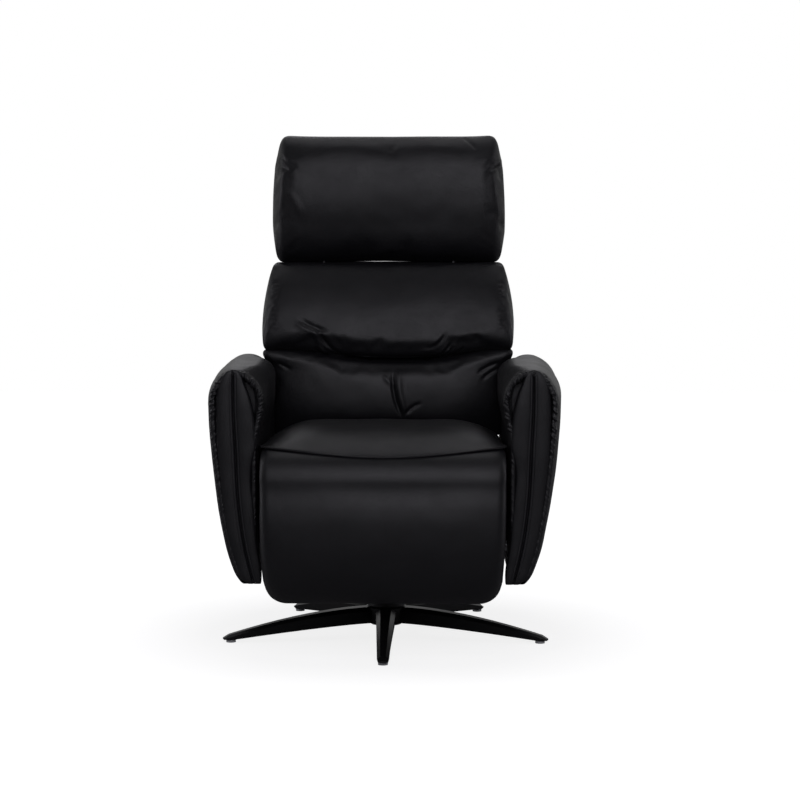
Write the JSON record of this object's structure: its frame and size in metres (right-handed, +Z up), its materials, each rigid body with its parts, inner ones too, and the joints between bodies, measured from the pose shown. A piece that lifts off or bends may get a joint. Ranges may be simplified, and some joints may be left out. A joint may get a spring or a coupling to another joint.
{
  "type": "star base swivel recliner",
  "caption": "Upholstered powered recliner with a reclining back, tilting headrest and swinging legrest, turning on a flat star foot.",
  "frame": {"origin": "on the floor, under the swivel axis and in the middle of the bounds", "axes": "+Z up, -Y the way the sitter faces, +X the sitter's left"},
  "size_m": [0.7724, 0.8112, 1.122],
  "materials": {
    "black_leather": "satin top-grain leather with a fine grain",
    "black_powder_coat": "satin black powder coat",
    "dark_steel": "black e-coated steel",
    "zinc_steel": "zinc plated",
    "plywood": "sanded birch plywood",
    "clear_nylon": "translucent nylon",
    "white_nylon": "natural nylon",
    "webbing": "woven elastic webbing and felt",
    "black_plastic": "fine spark texture",
    "button_rubber": "soft-touch keys"
  },
  "bodies": {
    "base": {"star_base": "black_powder_coat", "foot_glides": "clear_nylon", "base_column": "dark_steel", "column_bolt": "zinc_steel", "thrust_washer": "white_nylon", "spindle_nut": "zinc_steel"},
    "chassis": {"actuator_brackets": "dark_steel", "arm_bolts": "zinc_steel", "arm_frame_left": "plywood", "arm_frame_right": "plywood", "arm_front_panel_left": "black_leather", "arm_front_panel_right": "black_leather", "arm_pad_left": "black_leather", "arm_pad_right": "black_leather", "arm_spacers": "zinc_steel", "battery_box": "black_plastic", "charging_inlet": "black_plastic", "cross_member_front": "dark_steel", "cross_member_rear": "dark_steel", "front_cross_tube": "dark_steel", "hinge_pins": "zinc_steel", "legrest_actuator": "black_plastic", "rear_valance": "black_leather", "recline_actuator": "black_plastic", "seat_cushion": "black_leather", "seat_front_rail": "plywood", "seat_rear_rail": "plywood", "seat_side_rails": "plywood", "seat_webbing": "webbing", "side_plate_left": "dark_steel", "side_plate_right": "dark_steel", "spring_cover": "webbing", "switch_housing": "black_plastic", "swivel_bush": "white_nylon", "swivel_plate": "dark_steel"},
    "backrest": {"back_side_left": "dark_steel", "back_side_right": "dark_steel", "back_lower_rail": "dark_steel", "back_upper_rail": "dark_steel", "back_straps": "webbing", "recline_crank": "dark_steel", "lumbar_cushion": "black_leather", "back_cushion": "black_leather", "back_shell": "black_leather", "headrest_brackets": "dark_steel", "headrest_pins": "zinc_steel"},
    "headrest": {"headrest_levers": "dark_steel", "headrest_board": "plywood", "headrest_cushion": "black_leather"},
    "legrest": {"legrest_board": "plywood", "legrest_bracket_left": "dark_steel", "legrest_bracket_right": "dark_steel", "legrest_crank": "dark_steel", "legrest_cushion": "black_leather"},
    "recline_drive": {"recline_rod": "zinc_steel"},
    "legrest_drive": {"legrest_rod": "zinc_steel"},
    "key_legrest_out": {"button_legrest_out": "button_rubber"},
    "key_legrest_in": {"button_legrest_in": "button_rubber"},
    "key_back_down": {"button_back_down": "button_rubber"},
    "key_back_up": {"button_back_up": "button_rubber"}
  },
  "joints": [
    {"name": "seat_swivel", "type": "hinge", "parent": "base", "child": "chassis", "pos_m": [0, 0, 0.171], "axis": [0, 0, 1], "continuous": true},
    {"name": "back_recline", "type": "hinge", "parent": "chassis", "child": "backrest", "pos_m": [0, 0.2, 0.4], "axis": [-1, 0, 0], "range_deg": [0, 40]},
    {"name": "headrest_tilt", "type": "hinge", "parent": "backrest", "child": "headrest", "pos_m": [0, 0.296, 0.84], "axis": [1, 0, 0], "range_deg": [0, 30]},
    {"name": "legrest_swing", "type": "hinge", "parent": "chassis", "child": "legrest", "pos_m": [0, -0.335, 0.385], "axis": [-1, 0, 0], "range_deg": [0, 75]},
    {"name": "recline_stroke", "type": "slide", "parent": "chassis", "child": "recline_drive", "axis": [0, -1, 0], "range_m": [0, 0.0551]},
    {"name": "legrest_stroke", "type": "slide", "parent": "chassis", "child": "legrest_drive", "axis": [0, -1, 0], "range_m": [0, 0.06496]},
    {"name": "press_legrest_out", "type": "slide", "parent": "chassis", "child": "key_legrest_out", "axis": [1, 0, 0], "range_m": [0, 0.0015], "stiffness_N_per_m": 300, "springref_m": -0.002},
    {"name": "press_legrest_in", "type": "slide", "parent": "chassis", "child": "key_legrest_in", "axis": [1, 0, 0], "range_m": [0, 0.0015], "stiffness_N_per_m": 300, "springref_m": -0.002},
    {"name": "press_back_down", "type": "slide", "parent": "chassis", "child": "key_back_down", "axis": [1, 0, 0], "range_m": [0, 0.0015], "stiffness_N_per_m": 300, "springref_m": -0.002},
    {"name": "press_back_up", "type": "slide", "parent": "chassis", "child": "key_back_up", "axis": [1, 0, 0], "range_m": [0, 0.0015], "stiffness_N_per_m": 300, "springref_m": -0.002}
  ],
  "couplings": [
    {"joint": "recline_stroke", "follows": "back_recline", "m_per_rad": 0.078202},
    {"joint": "legrest_stroke", "follows": "legrest_swing", "m_per_rad": 0.04924}
  ]
}
